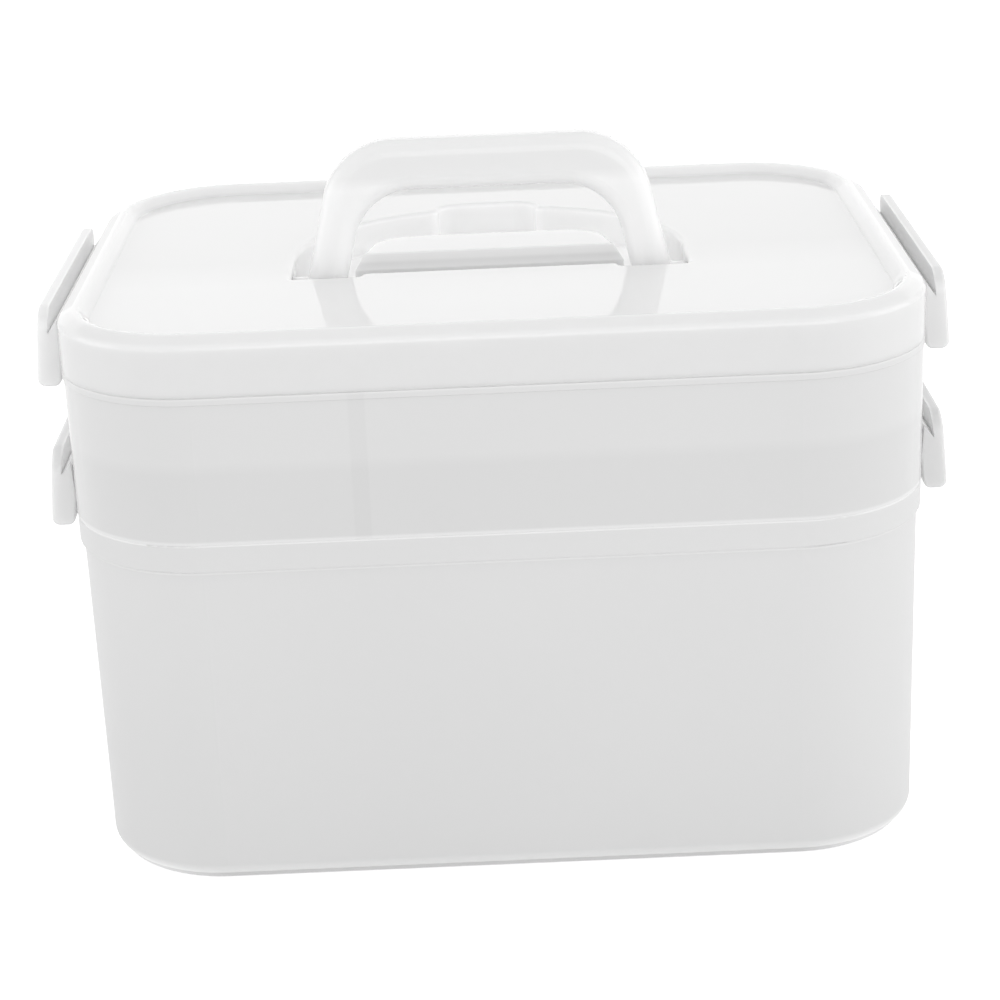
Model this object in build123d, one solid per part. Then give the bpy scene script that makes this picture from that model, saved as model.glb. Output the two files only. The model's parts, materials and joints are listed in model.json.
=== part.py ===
from build123d import *
import os

# Nail polish case: a deep box, a nesting tray, a lid with a folding bail handle, and four rocker clips.
# Millimetres, Z up, Y to the back, origin at the bottom centre.

# Overall outline and heights of the tiers
case_width = 270.0
case_depth = 210.0
corner_radius = 43.5
box_height = 115.3
tray_height = 46.9
lid_height = 18.7

# Lower box
box_wall = 2.2
box_floor = 2.4
box_wall_inset = 1.9
box_draft = 1.0
box_bottom_fillet = 4.0
band_inset = 0.7
band_height = 9.3
band_edge_fillet = 0.8
foot_height = 1.2
foot_inset = 3.0
foot_width = 4.0

# Upper tray
tray_wall = 2.2
tray_floor = 2.2
tray_wall_inset = 0.4
tray_draft = 0.2
tray_rim_height = 2.3
tray_rim_fillet = 0.3
spigot_depth = 6.0
spigot_fillet = 0.8
nest_gap = 0.5

# Dividers of the tray
divider_thickness = 1.8
divider_headroom = 6.0
divider_gap = 0.3
long_divider_y = -19.0
cross_divider_x = -44.3
guide_thickness = 1.4
guide_reach = 2.6

# Lid
lid_wall = 2.2
panel_thickness = 2.4
panel_drop = 3.5
rim_foot_inset = 10.0
crest_inset = 5.0
crest_width = 1.6
crest_fillet = 2.0
shoulder_drop = 2.8
shoulder_fillet = 2.0
lip_depth = 5.0
lip_thickness = 1.6
lip_gap = 0.4
lip_shelf = 2.4

# Bail handle, standing upright
handle_height = 47.3
handle_thickness = 13.0
handle_foot_half = 59.8
handle_top_half = 48.8
handle_leg_width = 13.0
handle_bar_depth = 16.5
handle_outer_radius = 24.0
handle_inner_radius = 20.0
handle_edge_fillet = 5.0
pivot_y = -19.0
pivot_drop = 4.4
pivot_radius = 2.5
pivot_length = 5.0
pivot_gap = 0.05
pivot_end_gap = 0.5

# Recess of the lid for the folded handle
recess_side_gap = 4.7
recess_front_gap = 2.5
recess_floor_gap = 0.4
recess_finger_room = 30.0
recess_back_radius = 59.5
pocket_radius = 1.6
recess_edge_fillet = 1.6
recess_floor_fillet = 1.4
tongue_side_gap = 4.6
tongue_depth = 4.0
tongue_radius = 2.3
scoop_width = 34.7
scoop_depth = 8.0
scoop_radius = 7.6
scoop_mouth_radius = 4.0

# Raised pad inside the opening of the folded handle
pad_side_gap = 4.1
pad_back_gap = 1.8
pad_front_gap = 12.2
pad_drop = 0.3
pad_flare = 2.6
pad_flare_height = 5.0
pad_back_radius = 13.0
pad_edge_fillet = 0.9

# Rocker clips, one long clip per short side at each join
clip_length = 112.0
clip_above = 16.1
clip_below = 9.3
clip_reach = 7.7
clip_flare = 2.0
clip_plate = 3.4
clip_end_wall = 2.4
clip_lip = 2.4
clip_lip_gap = 2.2
clip_waist_gap = 1.0
clip_corner_radius = 7.0
clip_bottom_radius = 2.6
clip_edge_fillet = 0.9
clip_shelf = 2.4
clip_shelf_low = 8.2
clip_shelf_high = 12.2
clip_shelf_gap = 1.8
hinge_rise = 2.8
hinge_reach = 2.4
hinge_radius = 1.1
hinge_gap = 0.05
lug_radius = 1.95
lug_length = 5.2
lug_side_gap = 0.4
rail_reach = 3.0
rail_height = 2.4
rail_fillet = 0.7
rail_gap = 0.3
rail_end_gap = 1.6

# Depth by which an added feature is sunk into the wall that carries it
embed = 0.5
# Slack when edges are picked by their place
near = 0.01

# Levels of the tiers
box_top = box_height
tray_top = box_top + tray_height
rim_top = tray_top + lid_height
panel_top = rim_top - panel_drop
panel_bottom = panel_top - panel_thickness
shoulder = rim_top - shoulder_drop
side_x = case_width / 2
half_depth = case_depth / 2

# Insets and levels that the tray, its dividers and the box share
spigot_inset = box_wall_inset + box_wall + nest_gap
tray_foot_inset = tray_wall_inset + tray_draft
tray_floor_top = box_top - spigot_depth + tray_floor
tray_ledge_top = box_top + tray_floor
divider_top = tray_top - divider_headroom

# Places of the handle and of its recess
pivot_z = panel_top - pivot_drop
handle_lean = (handle_foot_half - handle_top_half) / handle_height
recess_half_width = handle_foot_half + recess_side_gap
recess_front = pivot_y - handle_thickness / 2 - recess_front_gap
recess_back = pivot_y + handle_height + recess_finger_room
recess_floor = pivot_z - handle_thickness / 2 - recess_floor_gap

# The clip's end walls, and the lugs and rails that stay between them
clip_half = clip_length / 2
clip_inside = clip_half - clip_end_wall
lug_end = clip_inside - lug_side_gap
rail_half = clip_inside - rail_end_gap
hinge_x = side_x + hinge_reach


def outline(inset):
    """Plan outline of the case, moved inwards by inset."""
    return RectangleRounded(case_width - 2 * inset, case_depth - 2 * inset, corner_radius - inset)


def slab(inset, bottom, top):
    """Straight-sided block with the plan outline of the case."""
    return extrude(Plane.XY.offset(bottom) * outline(inset), top - bottom)


def drafted(bottom_inset, top_inset, bottom, top):
    """Block whose sides lean from one inset at the bottom to another at the top."""
    low = Plane.XY.offset(bottom) * outline(bottom_inset)
    high = Plane.XY.offset(top) * outline(top_inset)
    return loft([low, high], ruled=True)


def block(x_range, y_range, z_range):
    """Box between two corners, given as ranges along each axis."""
    ranges = (x_range, y_range, z_range)
    size = [high - low for low, high in ranges]
    centre = [(high + low) / 2 for low, high in ranges]
    return Pos(*centre) * Box(*size)


def along_x(radius, x_range, y, z):
    """Round bar along X."""
    low, high = x_range
    return Pos((low + high) / 2, y, z) * Rot(0, 90, 0) * Cylinder(radius, high - low)


def along_y(radius, y_range, x, z):
    """Round bar along Y."""
    low, high = y_range
    return Pos(x, (low + high) / 2, z) * Rot(90, 0, 0) * Cylinder(radius, high - low)


def both_sides(part):
    """The part together with its mirror image on the other short side."""
    return part + mirror(part, Plane.YZ)


def edges_at(part, level, half_x=side_x, half_y=half_depth):
    """Edges that lie flat at one level, within a rectangle about the centre."""
    def chosen(edge):
        box = edge.bounding_box()
        flat = abs(box.min.Z - level) < near and abs(box.max.Z - level) < near
        reach_x = max(abs(box.min.X), abs(box.max.X))
        reach_y = max(abs(box.min.Y), abs(box.max.Y))
        return flat and reach_x < half_x + near and reach_y < half_y + near
    return part.edges().filter_by(chosen)


def catch_rail(wall_inset, join):
    """Rail below a join that the clip's lip hooks under, on both short sides."""
    low = join - clip_below + clip_lip + rail_gap
    rail = block((side_x - wall_inset - embed, side_x + rail_reach), (-rail_half, rail_half),
                 (low, low + rail_height))
    rail = fillet(rail.edges().filter_by(Axis.Y).group_by(Axis.X)[-1], rail_fillet)
    return both_sides(rail)


def hinge_lugs(wall_inset, join):
    """Lugs above a join that carry the clip's trunnions, on both short sides."""
    hinge_z = join + hinge_rise
    lugs = Part()
    for end in (-1, 1):
        y_range = sorted((end * lug_end, end * (lug_end - lug_length)))
        web = block((side_x - wall_inset - embed, hinge_x), y_range, (hinge_z - lug_radius, hinge_z + lug_radius))
        lugs += web + along_y(lug_radius, y_range, hinge_x, hinge_z)
    lugs -= along_y(hinge_radius + hinge_gap, (-clip_half, clip_half), hinge_x, hinge_z)
    return both_sides(lugs)


def make_lower_box():
    """Deep box with a proud band at the mouth, a catch rail on each short side and a foot ring."""
    bottom_inset = box_wall_inset + box_draft
    floor_top = foot_height + box_floor
    shell = drafted(bottom_inset, box_wall_inset, foot_height, box_top)
    shell = fillet(edges_at(shell, foot_height), box_bottom_fillet)
    band_bottom = box_top - band_height
    band = slab(band_inset, band_bottom, box_top)
    band = fillet(edges_at(band, box_top) + edges_at(band, band_bottom), band_edge_fillet)
    cavity = drafted(bottom_inset + box_wall, box_wall_inset + box_wall, floor_top, box_top)
    cavity = fillet(edges_at(cavity, floor_top), box_bottom_fillet - box_wall / 2)
    foot = slab(bottom_inset + foot_inset, 0, foot_height + embed)
    foot -= slab(bottom_inset + foot_inset + foot_width, 0, foot_height + embed)
    return shell + band + catch_rail(band_inset, box_top) + foot - cavity


def guide_pair(centre):
    """Two ranges across a divider's slot, one for each guide rib beside it."""
    inner = (divider_thickness + divider_gap) / 2
    outer = inner + guide_thickness
    return [(centre - outer, centre - inner), (centre + inner, centre + outer)]


def divider_guides():
    """Guide ribs on the short walls for the long divider, and on the front wall for the cross divider."""
    guides = Part()
    heights = (tray_ledge_top, divider_top)
    wall_x = side_x - tray_foot_inset - tray_wall
    wall_y = half_depth - tray_foot_inset - tray_wall
    for y_range in guide_pair(long_divider_y):
        guides += both_sides(block((wall_x - guide_reach, wall_x + embed), y_range, heights))
    for x_range in guide_pair(cross_divider_x):
        guides += block(x_range, (-wall_y - embed, guide_reach - wall_y), heights)
    return guides


def make_upper_tray():
    """Shallow tray with a spigot that nests in the box, guides for the dividers and the lower clips' lugs."""
    rim_bottom = tray_top - tray_rim_height
    spigot_bottom = box_top - spigot_depth
    shell = drafted(tray_foot_inset, tray_wall_inset, box_top, rim_bottom)
    rim = slab(0, rim_bottom, tray_top)
    rim = fillet(edges_at(rim, tray_top) + edges_at(rim, rim_bottom), tray_rim_fillet)
    spigot = slab(spigot_inset, spigot_bottom, box_top + embed)
    spigot = fillet(edges_at(spigot, spigot_bottom), spigot_fillet)
    cavity = drafted(tray_foot_inset + tray_wall, tray_wall, tray_ledge_top, tray_top)
    well = slab(spigot_inset + tray_wall, tray_floor_top, tray_ledge_top + embed)
    tray = shell + rim + spigot + catch_rail(tray_wall_inset, tray_top) + hinge_lugs(tray_foot_inset, box_top)
    return tray - cavity - well + divider_guides()


def make_long_divider():
    """Divider along the tray, with guide ribs on its front face for the cross divider."""
    front = long_divider_y - divider_thickness / 2
    y_range = (front, front + divider_thickness)
    upper = side_x - tray_foot_inset - tray_wall - divider_gap
    lower = side_x - spigot_inset - tray_wall - divider_gap
    divider = block((-upper, upper), y_range, (tray_ledge_top, divider_top))
    divider += block((-lower, lower), y_range, (tray_floor_top, tray_ledge_top))
    for x_range in guide_pair(cross_divider_x):
        divider += block(x_range, (front - guide_reach, front), (tray_floor_top, divider_top))
    return divider


def make_cross_divider():
    """Divider from the front wall to the long divider."""
    back = long_divider_y - divider_thickness / 2 - divider_gap
    left = cross_divider_x - divider_thickness / 2
    x_range = (left, left + divider_thickness)
    upper = tray_foot_inset + tray_wall + divider_gap - half_depth
    lower = spigot_inset + tray_wall + divider_gap - half_depth
    divider = block(x_range, (upper, back), (tray_ledge_top, divider_top))
    return divider + block(x_range, (lower, back), (tray_floor_top, tray_ledge_top))


def recess_plan():
    """Plan of the handle's recess: pockets for the legs in front, a round back, and a thumb scoop."""
    depth = recess_back - recess_front
    plan = Pos(0, recess_front + depth / 2) * Rectangle(2 * recess_half_width, depth)
    plan = fillet(plan.vertices().group_by(Axis.Y)[-1], recess_back_radius)
    tongue_half = handle_foot_half - handle_leg_width - tongue_side_gap
    plan -= Pos(0, recess_front + tongue_depth / 2) * Rectangle(2 * tongue_half, tongue_depth)
    plan = fillet(plan.vertices().group_by(Axis.Y)[0], pocket_radius)
    tongue_tip = recess_front + tongue_depth
    plan = fillet(plan.vertices().filter_by(lambda corner: abs(corner.Y - tongue_tip) < near), tongue_radius)
    scoop_reach = recess_back + scoop_depth - pivot_y
    scoop = Pos(0, pivot_y + scoop_reach / 2) * Rectangle(scoop_width, scoop_reach)
    return plan + fillet(scoop.vertices().group_by(Axis.Y)[-1], scoop_radius)


def recess_space(plan):
    """The recess as a block, with its scoop's mouth and the edge of its floor rounded."""
    space = extrude(Plane.XY.offset(recess_floor) * plan, rim_top - recess_floor)
    scoop_side = scoop_width / 2
    sides = space.edges().filter_by(Axis.Z).filter_by(lambda edge: abs(abs(edge.center().X) - scoop_side) < near)
    space = fillet(sides.group_by(Axis.Y)[0], scoop_mouth_radius)
    return fillet(edges_at(space, recess_floor), recess_floor_fillet)


def opening_half(distance):
    """Half-width of the handle's opening at a distance from its pivot."""
    return handle_foot_half - handle_lean * distance - handle_leg_width


def pad_plan(inset, flare=0):
    """Plan of the raised pad in the folded handle's opening, moved inwards by inset and flared at the front."""
    front = recess_front + tongue_depth + pad_front_gap + inset - flare
    back = pivot_y + handle_height - handle_bar_depth - pad_back_gap - inset
    front_half = opening_half(front - pivot_y) - pad_side_gap - inset + flare
    back_half = opening_half(back - pivot_y) - pad_side_gap - inset
    corners = [(-front_half, front), (front_half, front), (back_half, back), (-back_half, back)]
    plan = make_face(Polyline(*corners, close=True))
    return fillet(plan.vertices().group_by(Axis.Y)[-1], pad_back_radius - inset)


def bearing_sockets():
    """Bosses beside the recess for the handle's trunnions, and the holes in them."""
    reach = pivot_radius + lid_wall
    hole_end = recess_half_width + pivot_length
    boss = block((recess_half_width, hole_end + lid_wall), (pivot_y - reach, pivot_y + reach),
                 (pivot_z - reach, panel_bottom + embed))
    hole = along_x(pivot_radius + pivot_gap, (recess_half_width - embed, hole_end), pivot_y, pivot_z)
    return both_sides(boss), both_sides(hole)


def make_pad():
    """Raised pad, straight at its foot and flared towards the front and the sides below its top."""
    pad_top = rim_top - pad_drop
    flare_bottom = pad_top - pad_flare_height
    foot_bottom = recess_floor - embed
    wide = pad_plan(0, pad_flare)
    pad = extrude(Plane.XY.offset(foot_bottom) * wide, flare_bottom - foot_bottom)
    pad += loft([Plane.XY.offset(flare_bottom) * wide, Plane.XY.offset(pad_top) * pad_plan(0)], ruled=True)
    return fillet(edges_at(pad, pad_top), pad_edge_fillet)


def make_lid_cover():
    """Cover without its recess: skirt, rim with a rounded crest, sunk panel and the lip that sits in the tray."""
    cover = slab(0, tray_top, shoulder) + drafted(0, crest_inset, shoulder, rim_top)
    cover -= drafted(rim_foot_inset, crest_inset + crest_width, panel_top, rim_top)
    cover = fillet(edges_at(cover, shoulder), shoulder_fillet)
    cover = fillet(edges_at(cover, rim_top), crest_fillet)
    shelf_top = tray_top + lip_shelf
    lip_inset = tray_wall + lip_gap
    hollow = (Pos(0, 0, -panel_thickness) * cover) & slab(lid_wall, shelf_top, rim_top)
    lip = slab(lip_inset, tray_top - lip_depth, tray_top)
    return cover + lip - hollow - slab(lip_inset + lip_thickness, tray_top - lip_depth, shelf_top)


def make_lid():
    """Moulded lid: cover, recess for the folded handle, raised pad, trunnion sockets and the clips' lugs."""
    plan = recess_plan()
    casing_bottom = recess_floor - lid_wall
    casing = extrude(Plane.XY.offset(casing_bottom) * offset(plan, lid_wall), panel_top - casing_bottom)
    bosses, holes = bearing_sockets()
    lid = make_lid_cover() + casing + bosses - recess_space(plan)
    recess_edge = edges_at(lid, panel_top, recess_half_width, recess_back + scoop_depth)
    lid = fillet(recess_edge, recess_edge_fillet)
    pad_hollow = extrude(Plane.XY.offset(casing_bottom) * pad_plan(lid_wall), rim_top - pad_drop - recess_floor)
    return lid + make_pad() - pad_hollow - holes + hinge_lugs(0, tray_top)


def make_handle():
    """Bail handle with splayed legs, rounded edges and trunnions at the feet."""
    foot = -handle_thickness / 2
    outer_foot = handle_foot_half - handle_lean * foot
    outer = make_face(Polyline((-outer_foot, foot), (outer_foot, foot), (handle_top_half, handle_height),
                               (-handle_top_half, handle_height), close=True))
    outer = fillet(outer.vertices().group_by(Axis.Y)[-1], handle_outer_radius)
    bar_bottom = handle_height - handle_bar_depth
    foot_half = opening_half(foot)
    bar_half = opening_half(bar_bottom)
    inner = make_face(Polyline((-foot_half, foot), (foot_half, foot), (bar_half, bar_bottom),
                               (-bar_half, bar_bottom), close=True))
    inner = fillet(inner.vertices().group_by(Axis.Y)[-1], handle_inner_radius)
    plane = Plane(origin=(0, pivot_y, pivot_z), x_dir=(1, 0, 0), z_dir=(0, -1, 0))
    bow = extrude(plane * (outer - inner), handle_thickness / 2, both=True)
    faces = bow.faces().filter_by(Axis.Y)
    rims = [edge for face in faces for edge in face.edges() if edge.bounding_box().max.Z > pivot_z]
    bow = fillet(rims, handle_edge_fillet)
    knuckle = along_x(handle_thickness / 2, (-side_x, side_x), pivot_y, pivot_z)
    knuckle += block((-side_x, side_x), (pivot_y + foot, pivot_y - foot), (pivot_z, pivot_z + handle_height))
    leg_middle = opening_half(0) + handle_leg_width / 2
    trunnion_end = recess_half_width + pivot_length - pivot_end_gap
    trunnion = along_x(pivot_radius, (leg_middle, trunnion_end), pivot_y, pivot_z)
    return (bow & knuckle) + both_sides(trunnion)


def make_clip(join, side):
    """Rocker clip on one short side: plate, shelf, end walls with trunnions, and the lip that hooks the rail."""
    top = join + clip_above
    bottom = join - clip_below
    shelf = join + clip_shelf_low
    shelf_tip = side_x + clip_shelf_gap
    lip_top = bottom + clip_lip

    def face(level):
        return side_x + clip_reach + clip_flare * (top - level) / (top - bottom)

    def back(level):
        return face(level) - clip_plate

    shelf_slope = (clip_shelf_high - clip_shelf_low) / (back(shelf) - shelf_tip)
    roof = shelf - clip_shelf
    profile = make_face(Polyline((face(bottom), bottom), (face(top), top), (back(top), top), (back(shelf), shelf),
                                 (shelf_tip, join + clip_shelf_high), (side_x + clip_waist_gap, join),
                                 (side_x + clip_lip_gap, bottom), close=True))
    hollow = make_face(Polyline((side_x, lip_top), (back(lip_top), lip_top), (back(roof), roof),
                                (side_x, roof + shelf_slope * (back(roof) - side_x)), close=True))
    plane = Plane(origin=(0, 0, 0), x_dir=(1, 0, 0), z_dir=(0, -1, 0))
    clip = extrude(plane * profile, clip_half, both=True)
    clip = fillet(clip.edges().filter_by(Axis.Y).group_by(Axis.Z)[0], clip_bottom_radius)
    clip = fillet(clip.edges().filter_by(Axis.X).group_by(Axis.Z)[-1], clip_corner_radius)
    clip = fillet(clip.faces().sort_by(SortBy.AREA)[-1].outer_wire().edges(), clip_edge_fillet)
    clip -= extrude(plane * hollow, clip_inside, both=True)
    for end in (-1, 1):
        y_range = sorted((end * clip_inside, end * (lug_end - lug_length)))
        clip += along_y(hinge_radius, y_range, hinge_x, join + hinge_rise)
    return clip if side > 0 else mirror(clip, Plane.YZ)


nodes = {
    "lower_box": make_lower_box(),
    "upper_tray": make_upper_tray(),
    "long_divider": make_long_divider(),
    "cross_divider": make_cross_divider(),
    "lid": make_lid(),
    "handle": make_handle(),
}
for tier, join in (("lower", box_top), ("upper", tray_top)):
    for side_name, side in (("left", -1), ("right", 1)):
        nodes[f"clip_{tier}_{side_name}"] = make_clip(join, side)

os.makedirs("parts", exist_ok=True)
for name, part in nodes.items():
    export_step(part, f"parts/{name}.step")
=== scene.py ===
import json
import math

import bpy
from mathutils import Matrix, Vector

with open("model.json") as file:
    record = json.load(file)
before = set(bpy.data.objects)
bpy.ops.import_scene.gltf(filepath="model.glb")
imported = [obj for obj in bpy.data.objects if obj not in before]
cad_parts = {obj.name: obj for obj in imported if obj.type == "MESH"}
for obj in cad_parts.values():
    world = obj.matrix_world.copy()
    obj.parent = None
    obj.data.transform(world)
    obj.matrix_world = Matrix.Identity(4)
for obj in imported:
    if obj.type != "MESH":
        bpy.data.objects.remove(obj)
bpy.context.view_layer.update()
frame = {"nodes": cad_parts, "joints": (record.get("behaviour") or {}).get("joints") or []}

scene = bpy.context.scene
nodes = frame["nodes"]

along, across, up = range(3)


def furthest(node_name, axis):
    """The furthest place of a CAD piece along an axis, in metres in the case's own frame."""
    return max(corner[axis] for corner in nodes[node_name].bound_box)


# Plan of the case: the middles of its round corners, and the rim's inner foot as a distance from them
case_half_width = 0.1350
case_half_depth = furthest("lid", across)
corner_radius = 0.0435
corner_middle_x = case_half_width - corner_radius
corner_middle_y = case_half_depth - corner_radius
rim_foot = corner_radius - 0.0100

# Levels of the case above the table
foot_top = 0.0012
box_top = furthest("lower_box", up)
band_bottom = box_top - 0.0093
tray_top = furthest("upper_tray", up)
panel_level = furthest("lid", up) - 0.0035
bar_bottom = furthest("handle", up) - 0.0165

# Planes just inside the tray's front and side walls, and the strips of painted shade that stand in for what
# shows through the walls; that of the cross divider lies a little to the right of the divider
front_wall = 0.0070 - case_half_depth
side_wall = case_half_width - 0.0050
divider_half = 0.0009
cross_strip_shift = 0.0025
cross_strip = furthest("cross_divider", along) - divider_half + cross_strip_shift
long_strip = furthest("long_divider", across) - divider_half
floor_strip_top = box_top + 0.0242
corner_strip_end = 0.1180
corner_strip_front = -0.0785
corner_strip_back = -0.0765

# The handle's pivot, and the regions of its recess, of the pad in it and of the finger scoop at its back
pivots = {joint["name"]: joint.get("pos_m") for joint in frame["joints"]}
pivot_y, pivot_level = pivots["handle_fold"][1:]
recess_half_width = 0.0660
recess_front = pivot_y - 0.0110
recess_back = pivot_y + 0.0870
recess_deep = panel_level - 0.0094
pad_half_width = 0.0460
pad_front = pivot_y + 0.0030
pad_back = pivot_y + 0.0550
scoop_half_width = 0.0140
scoop_front = 0.0500

# The handle's opening under the bar, and the inner edges of its legs from the pivot up
opening_half_width = 0.0360
leg_inner_edge = 0.0468
leg_lean = 0.234
leg_glow_low = pivot_level + 0.0050
leg_glow_high = pivot_level + 0.0300

# The space behind the clips' plates, which gets painted light, and the levels between which the clips'
# painted shade and light change
clip_plate_inside = case_half_width + 0.0043
clip_end_inside = furthest("clip_upper_right", across) - 0.0024
lower_clip_level = 0.1300
upper_clip_level = 0.1500


class Wire:
    """A shader value that takes part in Python sums; each operation adds one Math node."""

    def __init__(self, finish, socket):
        self.finish = finish
        self.socket = socket

    def math(self, operation, other=0.0):
        return self.finish.node("ShaderNodeMath", {"operation": operation}, {0: self, 1: other})

    def __add__(self, other):
        return self.math("ADD", other)

    __radd__ = __add__

    def __mul__(self, other):
        return self.math("MULTIPLY", other)

    __rmul__ = __mul__

    def __abs__(self):
        return self.math("ABSOLUTE")

    def __sub__(self, other):
        return self.math("SUBTRACT", other)

    def __rsub__(self, other):
        return self.finish.node("ShaderNodeMath", {"operation": "SUBTRACT"}, {0: other, 1: self})


class Finish:
    """The node tree of one material or of the world."""

    def __init__(self, owner):
        self.owner = owner
        owner.use_nodes = True
        self.tree = owner.node_tree
        self.tree.nodes.clear()

    def node(self, kind, settings=None, sockets=None, output=0):
        """Adds a node: its settings first, then the values or links of its sockets."""
        made = self.tree.nodes.new(kind)
        for name, value in (settings or {}).items():
            setattr(made, name, value)
        for name, value in (sockets or {}).items():
            target = made.inputs[name]
            if isinstance(value, Wire):
                self.tree.links.new(value.socket, target)
            else:
                target.default_value = value
        return Wire(self, made.outputs[output]) if made.outputs else None

    def seen_ray(self):
        """1 for what the camera sees, directly, in a reflection or through a clear piece, and 0 for light."""
        camera, glossy, through = [
            self.node("ShaderNodeLightPath", output=name)
            for name in ("Is Camera Ray", "Is Glossy Ray", "Is Transmission Ray")]
        return camera.math("MAXIMUM", glossy).math("MAXIMUM", through)

    def place(self):
        """Position on the piece, in metres in the case's own frame."""
        return self.node("ShaderNodeTexCoord", output="Object")

    def axes(self):
        """The position's three parts."""
        split = self.node("ShaderNodeSeparateXYZ", None, {0: self.place()})
        return [Wire(self, socket) for socket in split.socket.node.outputs]

    def noise(self, scale, detail):
        return self.node("ShaderNodeTexNoise", None, {
            "Vector": self.place(), "Scale": scale, "Detail": detail})

    def range(self, value, low, high, to_low=0.0, to_high=1.0):
        """Goes from to_low to to_high as value goes from low to high, and stays level outside."""
        return self.node("ShaderNodeMapRange", {"clamp": True}, {
            "Value": value, "From Min": low, "From Max": high, "To Min": to_low, "To Max": to_high})

    def below(self, value, low, high):
        """1 up to low, falling to 0 at high."""
        return self.range(value, low, high, 1.0, 0.0)

    def strip(self, value, low, high, soft):
        """1 between low and high, 0 outside, with soft ends."""
        return self.range(value, low - soft, low) * self.below(value, high, high + soft)

    def blend(self, share, first, second):
        """Colour between two colours."""
        return self.node("ShaderNodeMix", {"data_type": "RGBA"}, {0: share, 6: first, 7: second}, 2)


def grey(tone):
    return (tone, tone, tone, 1.0)


def moulded_plastic(name, tone, gloss_rough, rough_spread, wave_height,
                    depth=0.0, shade=None, glow=None, coat=0.0):
    """Injection-moulded plastic: slow flow clouding, a little unevenness in the gloss and a faint moulding
    wave. Light spreads inside it about as far as depth. Shade multiplies its tone by place to paint light and
    shade into it, and glow is a weak emission by place that paints in light."""
    cloud_scale = 9.0
    cloud_spread = 0.01
    gloss_scale = 40.0
    wave_scale = 30.0
    noise_low = 0.3
    noise_high = 0.7
    finish = Finish(bpy.data.materials.new(name))
    cloud = finish.range(finish.noise(cloud_scale, 1.0), noise_low, noise_high)
    colour = finish.blend(cloud, grey(tone * (1.0 - cloud_spread)), grey(tone * (1.0 + cloud_spread)))
    if shade:
        colour = finish.blend(shade(finish), grey(0.0), colour)
    rough = finish.range(finish.noise(gloss_scale, 2.0), noise_low, noise_high,
                         gloss_rough - rough_spread, gloss_rough + rough_spread)
    bump = finish.node("ShaderNodeBump", None, {
        "Strength": 1.0, "Distance": wave_height, "Height": finish.noise(wave_scale, 0.0)})
    sockets = {"Base Color": colour, "Roughness": rough, "Normal": bump, "IOR": 1.49,
               "Coat Weight": coat, "Coat Roughness": 0.05}
    if depth:
        sockets.update({
            "Subsurface Weight": 1.0, "Subsurface Radius": (1.0, 1.0, 1.0), "Subsurface Scale": depth})
    if glow:
        sockets.update({
            "Emission Color": finish.blend(glow(finish), grey(0.0), grey(1.0)), "Emission Strength": 1.0})
    shader = finish.node("ShaderNodeBsdfPrincipled", None, sockets)
    finish.node("ShaderNodeOutputMaterial", None, {"Surface": shader})
    return finish.owner


def milky_painted_light_and_shade(finish):
    """The tray's milky walls, with painted shade and light: faint strips of painted shade stand in for the
    floor, the ends of the dividers and the wall's own thickness at the front corners showing through, and the
    rim is painted a touch paler."""
    x, y, z = finish.axes()
    wall_soft = 0.0020
    cross_half = 0.0022
    long_half = 0.0021
    divider_soft = 0.0007
    floor = finish.below(z, floor_strip_top - wall_soft, floor_strip_top + wall_soft)
    cross = finish.below(y, front_wall, front_wall + wall_soft) * finish.strip(
        x, cross_strip - cross_half, cross_strip + cross_half, divider_soft)
    long = finish.range(abs(x), side_wall - wall_soft, side_wall) * finish.strip(
        y, long_strip - long_half, long_strip + long_half, divider_soft)
    corner = finish.range(abs(x), corner_strip_end, corner_strip_end + 0.0040) * finish.strip(
        y, corner_strip_front, corner_strip_back, 0.0050)
    rim = finish.strip(z, tray_top - 0.0025, tray_top - 0.0010, 0.0003)
    return 0.90 * (1.0 - 0.045 * floor) * (1.0 - 0.030 * cross) * (1.0 - 0.035 * long) * (
        1.0 - 0.09 * corner + 0.01 * rim)


def milky_painted_glow(finish):
    """Painted light: a weak glow that keeps the seams above and below the tray's wall from going dark."""
    z = finish.axes()[2]
    upper_seam = finish.range(z, tray_top - 0.0009, tray_top - 0.0004)
    lower_seam = finish.below(z, box_top + 0.0005, box_top + 0.0013)
    return 0.05 * upper_seam + 0.10 * lower_seam


def in_recess(finish):
    """1 down in the back of the handle's recess in the lid, less towards its front, 0 elsewhere."""
    x, y, z = finish.axes()
    edge_soft = 0.0020
    inside_ends = finish.below(abs(x), recess_half_width, recess_half_width + edge_soft)
    inside_sides = finish.strip(y, recess_front, recess_back, edge_soft)
    sunk = finish.below(z, panel_level - 0.0012, panel_level)
    towards_back = finish.range(y, pivot_y + 0.0010, pivot_y + 0.0540)
    return inside_ends * inside_sides * sunk * towards_back


def from_middle(finish):
    """Distance from the flat middle of the case's plan, which rises across the round corners and the rim."""
    x, y, z = finish.axes()
    past_ends = (abs(x) - corner_middle_x).math("MAXIMUM", 0.0)
    past_sides = (abs(y) - corner_middle_y).math("MAXIMUM", 0.0)
    return (past_ends * past_ends + past_sides * past_sides).math("SQRT")


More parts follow.
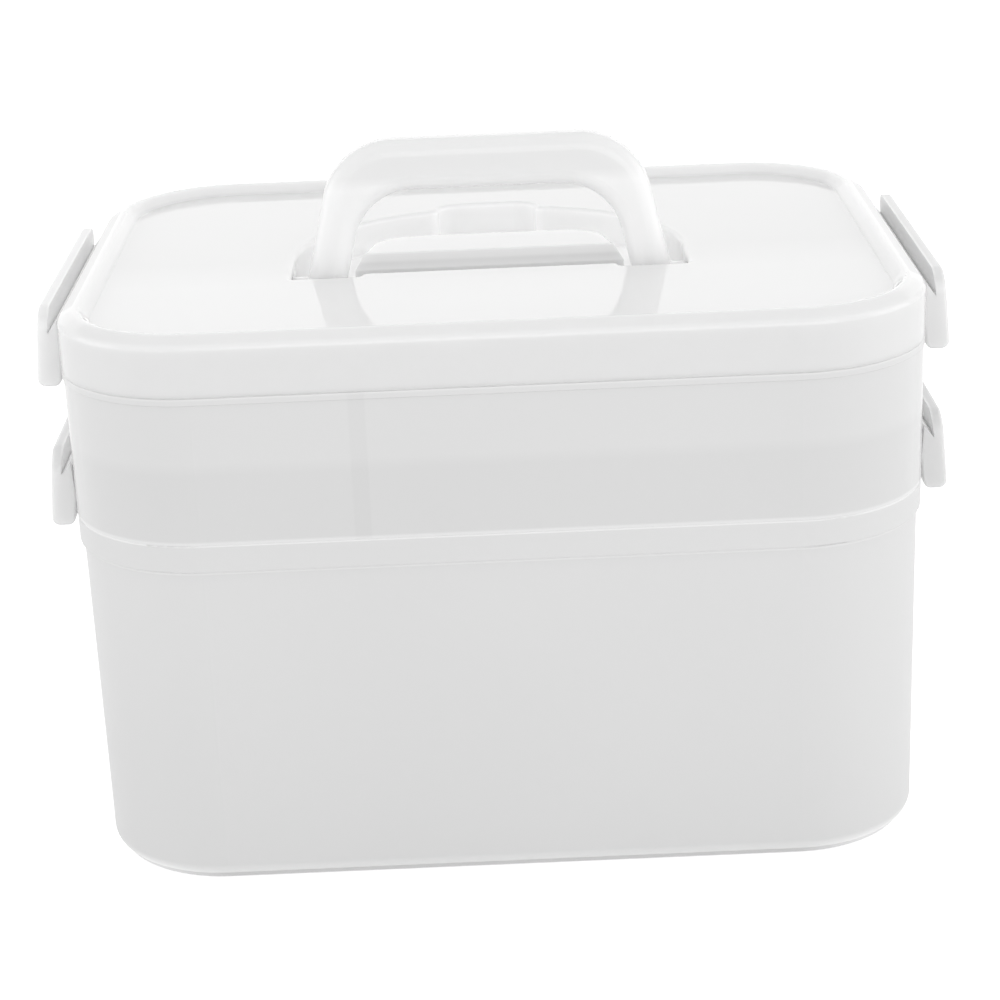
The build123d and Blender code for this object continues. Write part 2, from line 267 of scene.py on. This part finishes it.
def lid_painted_light_and_shade(finish):
    """Painted light and shade on the lid: it is painted paler in the handle's recess and on its rim, most of
    all at the back. The panel is painted a touch greyer towards the back and the right, and the pad's sides
    are greyer too."""
    x, y, z = finish.axes()
    edge_soft = 0.0020
    rim_front = -0.0600
    top = finish.range(z, panel_level - 0.0014, panel_level - 0.0002)
    raised = finish.range(z, panel_level + 0.0002, panel_level + 0.0010)
    rim = top * finish.range(from_middle(finish), rim_foot - 0.0015, rim_foot + 0.0010)
    rim_lift = finish.range(y, rim_front, 0.0800, 0.04, 0.11) * finish.range(y, rim_front - 0.0300, rim_front)
    pad = finish.below(abs(x), pad_half_width, pad_half_width + edge_soft) * finish.strip(
        y, pad_front, pad_back, edge_soft)
    towards_back = finish.range(y, pivot_y - 0.0160, pivot_y + 0.0140, 0.028, -0.022)
    towards_right = finish.range(x, 0.0, 0.1200, 0.0, 0.02)
    drift = towards_back - towards_right - 0.035 * pad
    return 0.845 + 0.155 * in_recess(finish) + top * (drift + raised * (0.022 - drift)) + rim * rim_lift


def lid_painted_glow(finish):
    """Painted light: a weak glow that keeps the recess, most of all its low parts and the finger scoop, and
    the seam under the lid from going dark."""
    x, y, z = finish.axes()
    deep = finish.range(z, recess_deep, panel_level - 0.0009, 0.085, 0.02)
    scoop = finish.below(abs(x), scoop_half_width, scoop_half_width + 0.0050) * finish.range(
        y, scoop_front, scoop_front + 0.0060)
    seam = finish.below(z, tray_top + 0.0002, tray_top + 0.0008)
    return in_recess(finish) * (deep + 0.02 * scoop) + 0.05 * seam


def box_painted_shade(finish):
    """Painted shade: the box's wall gets a little greyer towards the foot."""
    z = finish.axes()[2]
    return finish.range(z, foot_top + 0.0038, band_bottom - 0.0010, 0.965, 1.0)


def box_painted_glow(finish):
    """Painted light and highlights: a weak glow along the box's edges: on top of the band, under it, above
    the foot, and low down at both ends of the box."""
    x, y, z = finish.axes()
    band_top = finish.range(z, box_top - 0.0008, box_top - 0.0003)
    under_band = finish.strip(z, band_bottom - 0.0006, band_bottom + 0.0002, 0.0004)
    over_foot = finish.range(z, foot_top + 0.0004, foot_top + 0.0009) * finish.below(
        z, foot_top + 0.0014, foot_top + 0.0043)
    low_ends = finish.range(abs(x), corner_middle_x + 0.0005, corner_middle_x + 0.0205) * finish.below(
        z, foot_top - 0.0002, foot_top + 0.0038)
    return 0.16 * band_top + 0.07 * under_band + 0.16 * over_foot + 0.12 * low_ends


def handle_painted_light_and_shade(finish):
    """Painted light and shade: the bar is painted a little greyer than the legs, most of all on top, and
    paler along its lower edge.
    """
    x, y, z = finish.axes()
    low_edge = finish.below(z, bar_bottom + 0.0002, bar_bottom + 0.0032) * finish.below(
        abs(x), opening_half_width, opening_half_width + 0.0080)
    bar = finish.range(z, bar_bottom + 0.0012, bar_bottom + 0.0052)
    bar_top = finish.range(z, bar_bottom + 0.0062, bar_bottom + 0.0127)
    return 0.93 + 0.07 * low_edge - 0.075 * bar - 0.02 * bar_top


def handle_painted_glow(finish):
    """Painted light: a weak glow along the inner edges of the legs, fading upward."""
    x, y, z = finish.axes()
    from_inner_edge = abs(x) + leg_lean * (z - pivot_level) - leg_inner_edge
    near_edge = finish.below(from_inner_edge, 0.0, 0.0060)
    return 0.09 * near_edge * finish.below(z, leg_glow_low, leg_glow_high)


def clip_painted_shade(finish):
    """Painted shade: the clips on the right, the lower ones and all their upper edges are a touch greyer."""
    x, y, z = finish.axes()
    left_to_right = finish.range(x, -0.1000, 0.1000, 1.0, 0.90)
    low_to_high = finish.range(z, lower_clip_level - 0.0150, upper_clip_level, 0.94, 1.0)
    upper_edge = finish.range(z, tray_top + 0.0103, tray_top + 0.0133) + finish.strip(
        z, box_top + 0.0112, box_top + 0.0157, 0.0020)
    return left_to_right * low_to_high * (1.0 - 0.09 * upper_edge)


def clip_painted_glow(finish):
    """Painted light: a weak glow that keeps the slots behind the clips from going dark, more of it in the
    lower ones.
    """
    x, y, z = finish.axes()
    strength = finish.range(z, lower_clip_level, upper_clip_level, 0.24, 0.15)
    behind_plate = finish.below(abs(x), clip_plate_inside - 0.0008, clip_plate_inside + 0.0009)
    between_ends = finish.below(abs(y), clip_end_inside - 0.0001, clip_end_inside + 0.0014)
    return strength * behind_plate * between_ends


box_plastic = moulded_plastic(
    "box_plastic_satin", tone=0.74, gloss_rough=0.36, rough_spread=0.04, wave_height=0.00004,
    shade=box_painted_shade, glow=box_painted_glow)
tray_plastic = moulded_plastic(
    "tray_plastic_milky", tone=0.805, gloss_rough=0.33, rough_spread=0.03, wave_height=0.00003,
    shade=milky_painted_light_and_shade, glow=milky_painted_glow, coat=0.7)
divider_plastic = moulded_plastic(
    "divider_plastic_milky", tone=0.77, gloss_rough=0.34, rough_spread=0.03, wave_height=0.00003)
lid_plastic = moulded_plastic(
    "lid_plastic_gloss", tone=0.965, gloss_rough=0.06, rough_spread=0.02, wave_height=0.00001,
    depth=0.003, shade=lid_painted_light_and_shade, glow=lid_painted_glow)
handle_plastic = moulded_plastic(
    "handle_plastic_gloss", tone=0.98, gloss_rough=0.19, rough_spread=0.03, wave_height=0.00002,
    depth=0.004, shade=handle_painted_light_and_shade, glow=handle_painted_glow)
clip_plastic = moulded_plastic(
    "clip_plastic_satin", tone=0.89, gloss_rough=0.33, rough_spread=0.03, wave_height=0.00003,
    depth=0.003, shade=clip_painted_shade, glow=clip_painted_glow)

slots = {
    "lower_box": box_plastic,
    "upper_tray": tray_plastic,
    "long_divider": divider_plastic,
    "cross_divider": divider_plastic,
    "lid": lid_plastic,
    "handle": handle_plastic,
    "clip_lower_left": clip_plastic,
    "clip_lower_right": clip_plastic,
    "clip_upper_left": clip_plastic,
    "clip_upper_right": clip_plastic,
}
for node_name, material in slots.items():
    for slot in nodes[node_name].material_slots:
        slot.material = material


def make_floor():
    """Plain white floor that keeps a faint shadow; the camera sees it lifted to white."""
    paper_tone = 0.8
    seen_lift = 0.36
    camera_lift = 0.20
    half = 6.0
    under_case = -0.0002
    finish = Finish(bpy.data.materials.new("floor_paper"))
    paper = finish.node("ShaderNodeBsdfDiffuse", None, {"Color": grey(paper_tone)})
    camera = finish.node("ShaderNodeLightPath", output="Is Camera Ray")
    glow = finish.node("ShaderNodeEmission", None, {
        "Color": grey(1.0), "Strength": finish.seen_ray() * seen_lift + camera * camera_lift})
    both = finish.node("ShaderNodeAddShader", None, {0: paper, 1: glow})
    finish.node("ShaderNodeOutputMaterial", None, {"Surface": both})
    plan = [(-half, -half, 0), (half, -half, 0), (half, half, 0), (-half, half, 0)]
    mesh = bpy.data.meshes.new("floor")
    mesh.from_pydata(plan, [], [(0, 1, 2, 3)])
    mesh.materials.append(finish.owner)
    floor = bpy.data.objects.new("floor", mesh)
    floor.location.z = under_case
    scene.collection.objects.link(floor)


def make_world():
    """Even studio surroundings, seen as white by the camera and in reflections."""
    ambient = 0.83
    world = bpy.data.worlds.new("studio")
    scene.world = world
    finish = Finish(world)
    glow = finish.node("ShaderNodeBackground", None, {
        "Color": grey(1.0), "Strength": ambient + finish.seen_ray() * (1.0 - ambient)})
    finish.node("ShaderNodeOutputWorld", None, {"Surface": glow})


def softbox(name, place, target, width, height, power):
    """A rectangular lamp at place, facing target."""
    lamp = bpy.data.lights.new(name, "AREA")
    lamp.shape = "RECTANGLE"
    lamp.size = width
    lamp.size_y = height
    lamp.energy = power
    holder = bpy.data.objects.new(name, lamp)
    direction = Vector(target) - Vector(place)
    holder.location = place
    holder.rotation_euler = direction.to_track_quat("-Z", "Y").to_euler()
    scene.collection.objects.link(holder)


def make_camera():
    """Camera at the photograph's angle: a short telephoto, a little above, tilted a touch."""
    distance = 0.8811
    elevation = 0.3356
    yaw = -0.0028
    roll = 0.0420
    aim = Vector((0.0, 0.0, 0.1))
    level = math.cos(elevation)
    back = Vector((math.sin(yaw) * level, -math.cos(yaw) * level, math.sin(elevation)))
    right = Vector((math.cos(yaw), math.sin(yaw), 0.0))
    upward = back.cross(right)
    turned_right = right * math.cos(roll) - upward * math.sin(roll)
    turned_up = right * math.sin(roll) + upward * math.cos(roll)
    lens = bpy.data.cameras.new("camera")
    lens.sensor_width = 36.0
    lens.lens = 92.16
    lens.shift_x = 0.0021
    lens.shift_y = -0.0325
    lens.clip_start = 0.01
    holder = bpy.data.objects.new("camera", lens)
    columns = Matrix((turned_right, turned_up, back)).transposed()
    holder.matrix_world = Matrix.Translation(aim + back * distance) @ columns.to_4x4()
    scene.collection.objects.link(holder)
    scene.camera = holder


make_floor()
make_world()
softbox("front_softbox", place=(0.6, -2.2, 0.7), target=(0.0, 0.0, 0.1), width=2.0, height=1.6, power=10.5)
softbox("back_softbox", place=(0.0, 1.7, 0.75), target=(0.0, 0.0, 0.15), width=2.6, height=1.1, power=3.1)
softbox("left_softbox", place=(-1.6, -0.1, 0.5), target=(0.0, 0.0, 0.1), width=1.2, height=1.0, power=3.6)
softbox("right_softbox", place=(1.6, -0.1, 0.5), target=(0.0, 0.0, 0.1), width=1.2, height=1.0, power=3.6)
make_camera()

scene.view_settings.view_transform = "Standard"
